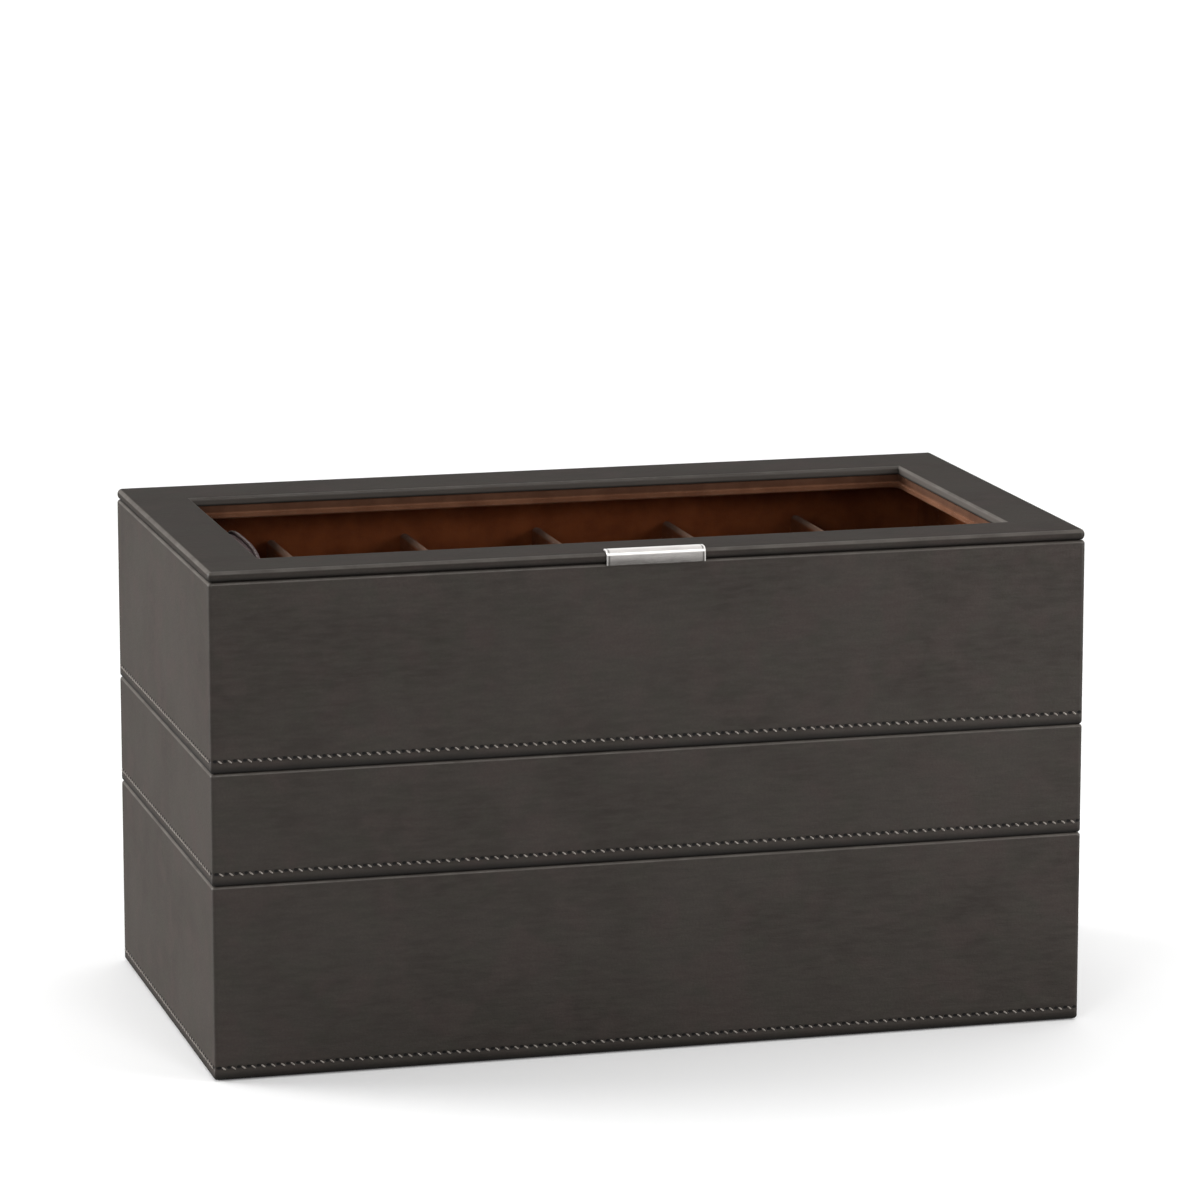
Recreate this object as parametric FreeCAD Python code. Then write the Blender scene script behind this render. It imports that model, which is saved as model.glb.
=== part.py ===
import FreeCAD, Part
import math
import os

# A stack of three leatherette boxes: a watch box with a glazed lid on a low
# tray on a tall tray. Millimetres, +Z up, front towards -Y. The origin is the
# middle of the underside. Every tray has the same outline, so most pieces are
# placed by their inset from that outline.

os.makedirs("parts", exist_ok=True)
Vector = FreeCAD.Vector

# Outline and heights, from the table up
overall_width = 340.0
overall_depth = 187.0
felt_stand_off = 0.5
bottom_tray_height = 74.0
middle_tray_height = 42.6
watch_box_height = 71.6
lid_thickness = 4.3

# Layers of a wall, from the outside in
cover_thickness = 0.8
wall_thickness = 4.4
lining_thickness = 2.8
outline_corner_radius = 1.6
tray_edge_radius = 1.3
board_bevel = 0.5
lining_round = 1.0

# Floors, and the lip of a tray that stands in the recess of the next one
base_thickness = 5.0
tray_pad_thickness = 3.0
watch_pad_thickness = 6.9
felt_thickness = 1.2
felt_gap = 0.3
lip_rise = 4.0
lip_side_gap = 0.6
lip_headroom = 1.0
watch_lining_drop = 0.6

# Dividers
divider_thickness = 4.0
slot_gap = 0.1
watch_divider_drop = 19.8
tray_divider_drop = 3.0
watch_cells = 6
middle_cells = 4
bottom_cells = 3

# Watch cushions
cushion_below_divider = 4.2
cushion_crown = 6.0
cushion_crown_inset = 7.5
cushion_flare = 5.0
cushion_side_gap = 3.3
cushion_end_gap = 2.2
cushion_side_bulge = 3.0
cushion_end_bulge = 1.6
cushion_corner = 10.0
cushion_waist = 1.4
standing_cushion_lift = 0.1
standing_headroom = 3.0

# Ring rolls in the middle tray
rolls_per_cell = 5
roll_height = 17.0
roll_gap = 1.0
roll_end_gap = 1.5

# Lid
lid_flat_edge = 0.5
lid_corner_extra = 0.1
window_inset = 24.0
window_back_inset = 30.0
window_edge_radius = 1.5
turned_edge_width = 11.0
glass_thickness = 2.0
glass_overlap = 4.0
glass_gap = 0.4
retainer_side_gap = 0.7
retainer_step_gap = 0.3
retainer_band = 2.5
retainer_bead = 2.5
bead_reach = 0.8
bead_bevel = 0.5
bead_corner_radius = 3.5

# Pull tab on the lid's front edge
tab_width = 38.4
tab_thickness = 0.7
tab_gap = 0.05
tab_top_leg = 4.2
tab_below_seam = 0.5
tab_edge_chamfer = 0.2

# Hinges
hinge_length = 32.0
hinge_spacing = 200.0
leaf_thickness = 0.8
leaf_gap = 0.1
leaf_edge_gap = 0.2
leaf_side_gap = 0.1
barrel_radius = 2.2
barrel_gap = 0.3
knuckle_gap = 0.2
pin_radius = 0.8
pin_fit = 0.05
screw_radius = 0.8
screw_head_radius = 1.5
screw_head_depth = 0.6
screw_fit = 0.05
screw_offset = 9.0
wall_screw_length = 7.0
lid_screw_cover = 0.5

# Places worked out from the sizes above
wall_inset = cover_thickness + wall_thickness
cell_inset = wall_inset + lining_thickness
recess_depth = lip_rise + lip_headroom
inner_width = overall_width - 2 * cell_inset
inner_depth = overall_depth - 2 * cell_inset
cell_length = (inner_depth - divider_thickness) / 2
seam_z = felt_stand_off + bottom_tray_height + middle_tray_height + watch_box_height
lid_face_z = seam_z + cover_thickness
glass_bottom = lid_face_z - glass_thickness
bead_top = glass_bottom - retainer_band
retainer_bottom = bead_top - retainer_bead
hinge_y = overall_depth / 2 + barrel_radius + barrel_gap
leaf_depth = wall_inset - leaf_edge_gap
lid_edge_radius = (lid_thickness - lid_flat_edge) / 2
lid_corner_radius = lid_edge_radius + lid_corner_extra
lid_screw_length = lid_thickness - cover_thickness - leaf_gap - lid_screw_cover
past = 1.0


class Tray:
    """One box of the stack, with the heights of its layers."""

    def __init__(self, name, bottom, height, base_rise, pad, lining_rise, divider_drop, cells):
        self.name = name
        self.bottom = bottom
        self.top = bottom + height
        self.base_bottom = bottom + base_rise
        self.base_top = self.base_bottom + base_thickness
        self.floor = self.base_top + pad
        self.lining_top = self.top + lining_rise
        self.divider_top = self.top - divider_drop
        self.cells = cells
        self.cell_width = (inner_width - (cells - 1) * divider_thickness) / cells
        self.pitch = self.cell_width + divider_thickness

    def cell_middle(self, column):
        """X of the middle of a column of cells, counted from the left."""
        return -inner_width / 2 + self.cell_width / 2 + column * self.pitch

    def divider_middle(self, number):
        """X of the middle of a cross divider, counted from 1 at the left."""
        return -inner_width / 2 - divider_thickness / 2 + number * self.pitch


bottom_tray = Tray("bottom", felt_stand_off, bottom_tray_height,
                   felt_thickness - felt_stand_off, tray_pad_thickness,
                   lip_rise, tray_divider_drop, bottom_cells)
middle_tray = Tray("middle", bottom_tray.top, middle_tray_height, recess_depth,
                   tray_pad_thickness, lip_rise, tray_divider_drop, middle_cells)
watch_box = Tray("watch_box", middle_tray.top, watch_box_height, recess_depth,
                 watch_pad_thickness, -watch_lining_drop, watch_divider_drop, watch_cells)


def save(name, shapes):
    """Writes one node, a single solid or a group of alike ones."""
    solids = []
    for shape in shapes:
        solids += shape.Solids
    result = solids[0] if len(solids) == 1 else Part.makeCompound(solids)
    if not result.isValid():
        raise ValueError(name + " is not a valid shape")
    result.exportStep("parts/" + name + ".step")


def block(x_size, y_size, bottom, top, x=0.0, y=0.0):
    """A box centred on (x, y)."""
    corner = Vector(x - x_size / 2, y - y_size / 2, bottom)
    return Part.makeBox(x_size, y_size, top - bottom, corner)


def inset_block(inset, bottom, top):
    """A box whose sides lie this far inside the outline."""
    return block(overall_width - 2 * inset, overall_depth - 2 * inset, bottom, top)


def edges_at(shape, z):
    """The edges of a shape that lie flat at one height."""
    found = []
    for edge in shape.Edges:
        box = edge.BoundBox
        if abs(box.ZMin - z) < 1e-6 and abs(box.ZMax - z) < 1e-6:
            found.append(edge)
    return found


def upright_edges(shape):
    """The straight vertical edges of a shape."""
    return [edge for edge in shape.Edges if edge.BoundBox.ZLength > 1e-3
            and edge.BoundBox.XLength + edge.BoundBox.YLength < 1e-6]


def soft_block(inset, bottom, top, corner_radius, edge_radius):
    """A box inside the outline with every edge rounded."""
    solid = inset_block(inset, bottom, top)
    solid = solid.makeFillet(corner_radius, upright_edges(solid))
    return solid.makeFillet(edge_radius, edges_at(solid, top) + edges_at(solid, bottom))


def bevelled_block(bottom, top):
    """The boards' outside under the leatherette, every edge bevelled."""
    solid = inset_block(cover_thickness, bottom + cover_thickness, top - cover_thickness)
    return solid.makeChamfer(board_bevel, solid.Edges)


def mitre_wedge(length, reach):
    """Everything between the front side of a rectangle and its two 45 degree mitres."""
    depth = min(length, reach) / 2
    low = -past
    plan = [Vector(-length / 2, -reach / 2, low), Vector(length / 2, -reach / 2, low),
            Vector(length / 2 - depth, depth - reach / 2, low)]
    if length > reach:
        plan.append(Vector(depth - length / 2, depth - reach / 2, low))
    face = Part.Face(Part.makePolygon(plan + plan[:1]))
    return face.extrude(Vector(0, 0, seam_z + lid_thickness + 2 * past))


SIDES = {"front": 0, "right": 90, "back": 180, "left": 270}


def side_size(side):
    """How long a side of the outline is, and how far apart it and its opposite are."""
    if side in ("front", "back"):
        return overall_width, overall_depth
    return overall_depth, overall_width


def turn_to_side(shape, side):
    """Turns a shape made on the front to another side."""
    return shape.rotated(Vector(0, 0, 0), Vector(0, 0, 1), SIDES[side])


def mitred_part(frame, side):
    """The stretch of a whole frame that belongs to one side."""
    wedge = mitre_wedge(*side_size(side))
    return frame.common(turn_to_side(wedge, side))


def mitred_bar(profile, side):
    """Runs a profile of (inset, z) points and arcs along one side and mitres its ends."""
    length, reach = side_size(side)
    origin = Vector(-length / 2, -reach / 2, 0)
    bar = profile.translated(origin).extrude(Vector(length, 0, 0))
    return turn_to_side(bar.common(mitre_wedge(length, reach)), side)


def line(start, end):
    """A straight edge between two (inset, z) points of a profile."""
    return Part.makeLine(Vector(0, *start), Vector(0, *end))


def quarter(start, centre, end):
    """A quarter round between two (inset, z) points about a centre."""
    radius = math.hypot(start[0] - centre[0], start[1] - centre[1])
    towards = ((start[0] + end[0]) / 2 - centre[0], (start[1] + end[1]) / 2 - centre[1])
    scale = radius / math.hypot(*towards)
    middle = (centre[0] + towards[0] * scale, centre[1] + towards[1] * scale)
    return Part.Arc(Vector(0, *start), Vector(0, *middle), Vector(0, *end)).toShape()


def wall_frame(tray):
    """The four wall boards of a tray before they are parted at the mitres."""
    inside = inset_block(wall_inset, tray.bottom - past, tray.top + past)
    return bevelled_block(tray.bottom, tray.top).cut(inside)


def tray_cover(tray):
    """Leatherette on the outside, over the top edge and under the bottom edge."""
    outside = soft_block(0.0, tray.bottom, tray.top, outline_corner_radius, tray_edge_radius)
    inside = inset_block(wall_inset, tray.bottom - past, tray.top + past)
    return outside.cut(bevelled_block(tray.bottom, tray.top)).cut(inside)


def lining_profile(tray):
    """Section of a lining panel: rounded top, and a stepped lip where it stands proud."""
    low = tray.base_top
    high = tray.lining_top
    outer = wall_inset
    edges = []
    if high > tray.top:
        lip = wall_inset + lip_side_gap
        edges.append(line((outer, low), (outer, tray.top)))
        edges.append(line((outer, tray.top), (lip, tray.top)))
        edges.append(line((lip, tray.top), (lip, high - lining_round)))
        outer = lip
    else:
        edges.append(line((outer, low), (outer, high - lining_round)))
    inner = cell_inset
    edges.append(quarter((outer, high - lining_round), (outer + lining_round, high - lining_round),
                         (outer + lining_round, high)))
    if inner - outer > 2 * lining_round + 1e-6:
        edges.append(line((outer + lining_round, high), (inner - lining_round, high)))
    edges.append(quarter((inner - lining_round, high), (inner - lining_round, high - lining_round),
                         (inner, high - lining_round)))
    edges.append(line((inner, high - lining_round), (inner, low)))
    edges.append(line((inner, low), (wall_inset, low)))
    return Part.Face(Part.Wire(edges))


def divider_plate(length, bottom, top):
    """A divider along X at the origin, with a fully rounded top."""
    half = divider_thickness / 2
    edges = [line((-half, bottom), (-half, top - half)),
             quarter((-half, top - half), (0, top - half), (0, top)),
             quarter((0, top), (0, top - half), (half, top - half)),
             line((half, top - half), (half, bottom)),
             line((half, bottom), (-half, bottom))]
    face = Part.Face(Part.Wire(edges)).translated(Vector(-length / 2, 0, 0))
    return face.extrude(Vector(length, 0, 0))


def long_divider(tray):
    """The lengthwise divider, slotted from above for each cross divider."""
    plate = divider_plate(inner_width, tray.floor, tray.divider_top)
    slot = divider_thickness + 2 * slot_gap
    middle = (tray.floor + tray.divider_top) / 2
    for number in range(1, tray.cells):
        plate = plate.cut(block(slot, slot, middle, tray.divider_top + past,
                                tray.divider_middle(number)))
    return plate


def cross_divider(tray, number):
    """A front-to-back divider, slotted from below for the lengthwise one."""
    plate = divider_plate(inner_depth, tray.floor, tray.divider_top)
    slot = divider_thickness + 2 * slot_gap
    middle = (tray.floor + tray.divider_top) / 2
    plate = plate.cut(block(slot, slot, tray.floor - past, middle))
    plate = plate.rotated(Vector(0, 0, 0), Vector(0, 0, 1), 90)
    return plate.translated(Vector(tray.divider_middle(number), 0, 0))


def past_point(start, target, distance):
    """The point this far beyond target, seen from start."""
    return target.add(target.sub(start).normalize().multiply(distance))


def circles_cross(centre_a, radius_a, centre_b, radius_b):
    """Where two circles at one height cross, left of the way from the first centre to the second."""
    between = centre_b.sub(centre_a)
    along = (radius_a ** 2 - radius_b ** 2 + between.Length ** 2) / (2 * between.Length)
    across = math.sqrt(radius_a ** 2 - along ** 2)
    direction = between.normalize()
    return centre_a.add(Vector(direction.x * along - direction.y * across,
                               direction.y * along + direction.x * across, 0))


def bulge_radius(half_chord, bulge):
    """Radius of an arc that rises this far over its chord."""
    return (half_chord ** 2 + bulge ** 2) / (2 * bulge)


def cushion_outline(drawn_in, z, width, length):
    """Plan of a cushion at one height: bulging sides and ends on tangent corner arcs."""
    side_radius = bulge_radius(length / 2 - cushion_corner, cushion_side_bulge)
    end_radius = bulge_radius(width / 2 - cushion_corner, cushion_end_bulge)
    side_centre = Vector(width / 2 - side_radius, 0, z)
    end_centre = Vector(0, length / 2 - end_radius, z)
    corner = circles_cross(side_centre, side_radius - cushion_corner,
                           end_centre, end_radius - cushion_corner)
    radius = cushion_corner - drawn_in
    start = past_point(side_centre, corner, radius)
    finish = past_point(end_centre, corner, radius)
    middle = past_point(corner, start.add(finish).multiply(0.5), 0)
    middle = past_point(corner, middle, radius - middle.sub(corner).Length)
    side_crest = Vector(width / 2 - drawn_in, 0, z)
    end_crest = Vector(0, length / 2 - drawn_in, z)
    arcs = [Part.Arc(Vector(start.x, -start.y, z), side_crest, start),
            Part.Arc(start, middle, finish),
            Part.Arc(finish, end_crest, Vector(-finish.x, finish.y, z)),
            Part.Arc(Vector(-finish.x, finish.y, z), Vector(-middle.x, middle.y, z),
                     Vector(-start.x, start.y, z))]
    edges = [arc.toShape() for arc in arcs]
    edges += [edge.rotated(Vector(0, 0, 0), Vector(0, 0, 1), 180) for edge in edges]
    return Part.Wire(edges)


def cushion_size():
    """Width, length and height of a cushion: it fits its cell, and the lid when it stands."""
    standing_room = retainer_bottom - watch_box.floor - standing_cushion_lift - standing_headroom
    width = min(watch_box.cell_width - 2 * cushion_side_gap, standing_room)
    length = cell_length - 2 * cushion_end_gap
    height = watch_box.divider_top - watch_box.floor - cushion_below_divider
    return width, length, height


def cushion():
    """A watch cushion on its base: drawn-in band, flare to the sewn edge, and crown."""
    width, length, height = cushion_size()
    sewn_edge = height - cushion_crown
    band = [cushion_outline(cushion_waist, 0.0, width, length),
            cushion_outline(cushion_waist, sewn_edge - cushion_flare, width, length),
            cushion_outline(0.0, sewn_edge, width, length)]
    crown = []
    for share_in, share_up in ((0.0, 0.0), (0.33, 0.6), (1.0, 1.0)):
        crown.append(cushion_outline(share_in * cushion_crown_inset,
                                     sewn_edge + share_up * cushion_crown, width, length))
    return Part.makeLoft(band, True, True).fuse(Part.makeLoft(crown, True, True))


def cell_y(row):
    """Y of the middle of a row of cells, 0 at the front and 1 at the back."""
    return (2 * row - 1) * (cell_length + divider_thickness) / 2


def lying_cushion(column, row):
    """A cushion on its base in the middle of its cell."""
    place = Vector(watch_box.cell_middle(column), cell_y(row), watch_box.floor)
    return cushion().translated(place)


def standing_cushion(column, row):
    """A cushion turned on its side, its crown against the left of its cell."""
    width, length, height = cushion_size()
    turned = cushion().rotated(Vector(0, 0, 0), Vector(0, 1, 0), -90)
    left = watch_box.cell_middle(column) - watch_box.cell_width / 2
    place = Vector(left + standing_cushion_lift + height, cell_y(row),
                   watch_box.floor + standing_cushion_lift + width / 2)
    return turned.translated(place)


def ring_roll(x, y, radius, length):
    """One suede roll along X: a half round on a straight-sided foot."""
    floor = middle_tray.floor
    shoulder = floor + roll_height - radius
    edges = [line((-radius, floor), (-radius, shoulder)),
             quarter((-radius, shoulder), (0, shoulder), (0, shoulder + radius)),
             quarter((0, shoulder + radius), (0, shoulder), (radius, shoulder)),
             line((radius, shoulder), (radius, floor)),
             line((radius, floor), (-radius, floor))]
    face = Part.Face(Part.Wire(edges)).translated(Vector(x - length / 2, y, 0))
    return face.extrude(Vector(length, 0, 0))


def ring_rolls():
    """Rolls side by side in the two left cells of the middle tray's front row."""
    pitch = (cell_length - roll_gap) / rolls_per_cell
    radius = (pitch - roll_gap) / 2
    length = middle_tray.cell_width - 2 * roll_end_gap
    first = cell_y(0) - cell_length / 2 + roll_gap + radius
    rolls = []
    for column in range(2):
        for number in range(rolls_per_cell):
            rolls.append(ring_roll(middle_tray.cell_middle(column), first + number * pitch,
                                   radius, length))
    return rolls


def hinge_x(side):
    """X of the middle of a hinge: -1 for the left one, 1 for the right one."""
    return side * hinge_spacing / 2


def leaf_bounds(upper):
    """Bottom and top of a hinge leaf in the seam between lid and wall."""
    if upper:
        return seam_z + leaf_gap, seam_z + leaf_gap + leaf_thickness
    return seam_z - leaf_gap - leaf_thickness, seam_z - leaf_gap


def leaf_recess(side, upper):
    """The room for a hinge leaf, cut from the wall or the lid."""
    bottom, top = leaf_bounds(upper)
    if upper:
        bottom -= leaf_gap + past
    else:
        top += leaf_gap + past
    inner_edge = overall_depth / 2 - leaf_depth - leaf_side_gap
    outer_edge = overall_depth / 2 + past
    return block(hinge_length + 2 * leaf_side_gap, outer_edge - inner_edge, bottom, top,
                 hinge_x(side), (outer_edge + inner_edge) / 2)


def screw_places(side):
    """X and Y of the screws of one hinge leaf."""
    inset_y = overall_depth / 2 - cover_thickness - wall_thickness / 2
    return [(hinge_x(side) - screw_offset, inset_y), (hinge_x(side) + screw_offset, inset_y)]


def screw(x, y, length, upper, fit=0.0):
    """A countersunk screw driven from the seam down into the wall or up into the lid."""
    towards = 1 if upper else -1
    start = Vector(x, y, seam_z + towards * leaf_gap)
    axis = Vector(0, 0, towards)
    head = Part.makeCone(screw_head_radius + fit, screw_radius + fit, screw_head_depth, start, axis)
    shank = Part.makeCylinder(screw_radius + fit, length + fit, start, axis)
    return head.fuse(shank).removeSplitter()


def screws(upper, length, fit=0.0):
    """All the screws of the lid or of the wall."""
    return [screw(x, y, length, upper, fit) for side in (-1, 1) for x, y in screw_places(side)]


def tube_along_x(x_start, length, outer, inner):
    """A knuckle of the hinge barrel."""
    base = Vector(x_start, hinge_y, seam_z)
    barrel = Part.makeCylinder(outer, length, base, Vector(1, 0, 0))
    return barrel.cut(Part.makeCylinder(inner, length, base, Vector(1, 0, 0)))


def hinge_leaf(side, upper):
    """One leaf with its knuckles: two outer ones on the wall, the middle one on the lid."""
    knuckle = (hinge_length - 2 * knuckle_gap) / 3
    left = hinge_x(side) - hinge_length / 2
    starts = [left, left + 2 * (knuckle + knuckle_gap)]
    if upper:
        starts = [left + knuckle + knuckle_gap]
    bottom, top = leaf_bounds(upper)
    inner_edge = overall_depth / 2 - leaf_depth
    plate_edge = hinge_y - barrel_radius - barrel_gap
    leaf = block(hinge_length, plate_edge - inner_edge, bottom, top,
                 hinge_x(side), (plate_edge + inner_edge) / 2)
    for start in starts:
        neck = block(knuckle, hinge_y - inner_edge, bottom, top,
                     start + knuckle / 2, (hinge_y + inner_edge) / 2)
        barrel = tube_along_x(start, knuckle, barrel_radius, pin_radius + pin_fit)
        bore = Part.makeCylinder(pin_radius + pin_fit, knuckle,
                                 Vector(start, hinge_y, seam_z), Vector(1, 0, 0))
        leaf = leaf.fuse(neck).cut(bore).fuse(barrel)
    for x, y in screw_places(side):
        leaf = leaf.cut(screw(x, y, wall_screw_length, upper, screw_fit))
    return leaf.removeSplitter()


def hinge_pin(side):
    """The pin that both leaves turn on."""
    start = Vector(hinge_x(side) - hinge_length / 2, hinge_y, seam_z)
    return Part.makeCylinder(pin_radius, hinge_length, start, Vector(1, 0, 0))


def for_hinges(shape, upper, screw_length):
    """Cuts the hinge recesses and the screw holes."""
    for side in (-1, 1):
        shape = shape.cut(leaf_recess(side, upper))
    for hole in screws(upper, screw_length, screw_fit):
        shape = shape.cut(hole)
    return shape


def window_block(grow, bottom, top):
    """A box the size of the window, grown by this much on every side."""
    x_size = overall_width - 2 * window_inset + 2 * grow
    y_size = overall_depth - window_inset - window_back_inset + 2 * grow
    return block(x_size, y_size, bottom, top, 0.0, (window_inset - window_back_inset) / 2)


def window_rim(frame, z, grow):
    """The edges at one height of a window grown by this much."""
    reach = overall_width / 2 - window_inset + grow
    return [edge for edge in edges_at(frame, z)
            if edge.BoundBox.XMax < reach + 1e-3 and edge.BoundBox.XMin > -reach - 1e-3]


def bare_lid_board():
    """The stiff frame inside the lid, before it is cut for the hinges."""
    top = seam_z + lid_thickness
    board = bevelled_block(seam_z, top)
    board = board.cut(window_block(cover_thickness, seam_z - past, top + past))
    return board.makeChamfer(board_bevel, window_rim(board, top - cover_thickness, cover_thickness))


def lid_board():
    """The stiff frame inside the lid."""
    return for_hinges(bare_lid_board(), True, lid_screw_length)


def lid_cover():
    """Leatherette round the lid frame, left open underneath where the pane lies on the board."""
    top = seam_z + lid_thickness
    frame = soft_block(0.0, seam_z, top, lid_corner_radius, lid_edge_radius)
    frame = frame.cut(window_block(0.0, seam_z - past, top + past))
    frame = frame.makeFillet(window_edge_radius, window_rim(frame, top, 0.0))
    channel = inset_block(turned_edge_width, seam_z - past, lid_face_z)
    return for_hinges(frame.cut(bare_lid_board()).cut(channel), True, lid_screw_length)


def glass_pane():
    """The pane, held between the lid frame and the retaining frame."""
    return window_block(glass_overlap, glass_bottom, lid_face_z)


def retaining_frame():
    """The suede frame that drops into the box: a rebate for the pane, a flush band and a bead."""
    window = window_block(0.0, bead_top, lid_face_z + past)
    bead_window = window_block(-bead_reach, retainer_bottom - past, lid_face_z + past)
    bead_window = bead_window.makeFillet(bead_corner_radius, upright_edges(bead_window))
    rebate = window_block(glass_overlap + glass_gap, glass_bottom, lid_face_z + past)
    frame = inset_block(cell_inset + retainer_side_gap, retainer_bottom, seam_z)
    frame = frame.fuse(inset_block(turned_edge_width + retainer_step_gap, seam_z, lid_face_z))
    frame = frame.cut(bead_window).cut(window).cut(rebate).removeSplitter()
    rim = window_rim(frame, retainer_bottom, -bead_reach) + window_rim(frame, bead_top, -bead_reach)
    return frame.makeChamfer(bead_bevel, rim)


def pull_tab():
    """A bent metal strip over the lid's front edge."""
    near = -overall_depth / 2 - tab_gap
    far = near - tab_thickness
    low_face = seam_z + lid_thickness + tab_gap
    high_face = low_face + tab_thickness
    bend = lid_edge_radius + tab_gap
    bend_y = near + bend
    bend_z = low_face - bend
    foot = seam_z - tab_below_seam
    back = -overall_depth / 2 + tab_top_leg
    edges = [line((far, foot), (far, bend_z)),
             quarter((far, bend_z), (bend_y, bend_z), (bend_y, high_face)),
             line((bend_y, high_face), (back, high_face)),
             line((back, high_face), (back, low_face)),
             line((back, low_face), (bend_y, low_face)),
             quarter((bend_y, low_face), (bend_y, bend_z), (near, bend_z)),
             line((near, bend_z), (near, foot)), line((near, foot), (far, foot))]
    strip = Part.Face(Part.Wire(edges)).translated(Vector(-tab_width / 2, 0, 0))
    strip = strip.extrude(Vector(tab_width, 0, 0))
    outer_rim = []
    for edge in strip.Edges:
        box = edge.BoundBox
        on_end = box.XLength < 1e-6
        on_face = abs(box.YMin - far) < 1e-6 or abs(box.ZMax - high_face) < 1e-6
        if on_end and on_face and edge.Length > 2 * tab_thickness:
            outer_rim.append(edge)
    return strip.makeChamfer(tab_edge_chamfer, outer_rim)


def save_tray_shell(tray, separate):
    """Walls, cover, base, lining and floor, which every tray has."""
    walls = wall_frame(tray)
    cover = tray_cover(tray)
    if tray is watch_box:
        walls = for_hinges(walls, False, wall_screw_length)
        cover = for_hinges(cover, False, wall_screw_length)
    profile = lining_profile(tray)
    boards = {side: mitred_part(walls, side) for side in SIDES}
    panels = {side: mitred_bar(profile, side) for side in SIDES}
    if separate:
        for side in SIDES:
            save(tray.name + "_" + side + "_wall", [boards[side]])
            save(tray.name + "_" + side + "_lining", [panels[side]])
    else:
        save(tray.name + "_walls", boards.values())
        save(tray.name + "_lining", panels.values())
    save(tray.name + "_cover", [cover])
    save(tray.name + "_base", [inset_block(wall_inset, tray.base_bottom, tray.base_top)])
    save(tray.name + "_floor", [inset_block(cell_inset, tray.base_top, tray.floor)])
    save(tray.name + "_long_divider", [long_divider(tray)])
    for number in range(1, tray.cells):
        save(tray.name + "_cross_divider_%d" % number, [cross_divider(tray, number)])


def save_cushions():
    """Twelve cushions: the back left one stands on its side, the rest lie."""
    for row, row_name in enumerate(("front", "back")):
        for column in range(watch_cells):
            shape = lying_cushion(column, row)
            if row == 1 and column == 0:
                shape = standing_cushion(column, row)
            save("cushion_%s_%d" % (row_name, column + 1), [shape])


def save_hinges():
    """Two hinges, with their pins and screws."""
    for side, side_name in ((-1, "left"), (1, "right")):
        save("hinge_fixed_leaf_" + side_name, [hinge_leaf(side, False)])
        save("hinge_moving_leaf_" + side_name, [hinge_leaf(side, True)])
    save("hinge_pins", [hinge_pin(-1), hinge_pin(1)])
    save("wall_screws", screws(False, wall_screw_length))
    save("lid_screws", screws(True, lid_screw_length))


save_tray_shell(bottom_tray, False)
save("bottom_felt", [inset_block(wall_inset + felt_gap, 0.0, felt_thickness)])
save_tray_shell(middle_tray, False)
save("middle_ring_rolls", ring_rolls())
save_tray_shell(watch_box, True)
save_cushions()
save_hinges()
save("lid_board", [lid_board()])
save("lid_cover", [lid_cover()])
save("lid_glass", [glass_pane()])
save("lid_retaining_frame", [retaining_frame()])
save("pull_tab", [pull_tab()])
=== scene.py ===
import math
import random

import bmesh
import bpy
from mathutils import Matrix, Vector, noise


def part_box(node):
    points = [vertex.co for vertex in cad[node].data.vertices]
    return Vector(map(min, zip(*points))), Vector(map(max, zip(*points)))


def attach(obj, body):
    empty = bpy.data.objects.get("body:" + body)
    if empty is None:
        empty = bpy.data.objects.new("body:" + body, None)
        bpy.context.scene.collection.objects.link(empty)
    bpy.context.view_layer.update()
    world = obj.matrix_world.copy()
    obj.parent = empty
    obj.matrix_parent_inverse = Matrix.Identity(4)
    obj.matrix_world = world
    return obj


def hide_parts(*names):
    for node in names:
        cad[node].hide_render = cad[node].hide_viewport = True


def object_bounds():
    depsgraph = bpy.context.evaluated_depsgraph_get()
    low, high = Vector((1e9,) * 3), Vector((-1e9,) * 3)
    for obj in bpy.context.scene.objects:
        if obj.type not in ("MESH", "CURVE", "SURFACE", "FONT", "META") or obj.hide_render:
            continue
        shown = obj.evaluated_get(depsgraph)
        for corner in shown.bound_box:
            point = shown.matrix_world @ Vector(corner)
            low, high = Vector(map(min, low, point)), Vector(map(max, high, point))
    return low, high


# Looks of a stack of three leatherette boxes with a glazed lid. Every piece
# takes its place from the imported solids, so nothing here moves or fits them.
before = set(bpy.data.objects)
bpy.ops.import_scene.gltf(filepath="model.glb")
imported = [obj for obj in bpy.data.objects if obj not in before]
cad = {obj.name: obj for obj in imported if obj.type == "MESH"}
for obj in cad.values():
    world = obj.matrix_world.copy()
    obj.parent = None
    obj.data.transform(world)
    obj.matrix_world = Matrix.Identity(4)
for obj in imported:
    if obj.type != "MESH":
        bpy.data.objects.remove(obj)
cad_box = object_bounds()
chance = random.Random(7)

MM = 0.001
UP = Vector((0, 0, 1))
X, Y, Z = 0, 1, 2

# The cover of each tray, and the body it belongs to
TRAYS = {
    "bottom_cover": "bottom_tray",
    "middle_cover": "middle_tray",
    "watch_box_cover": "watch_box",
}

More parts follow.
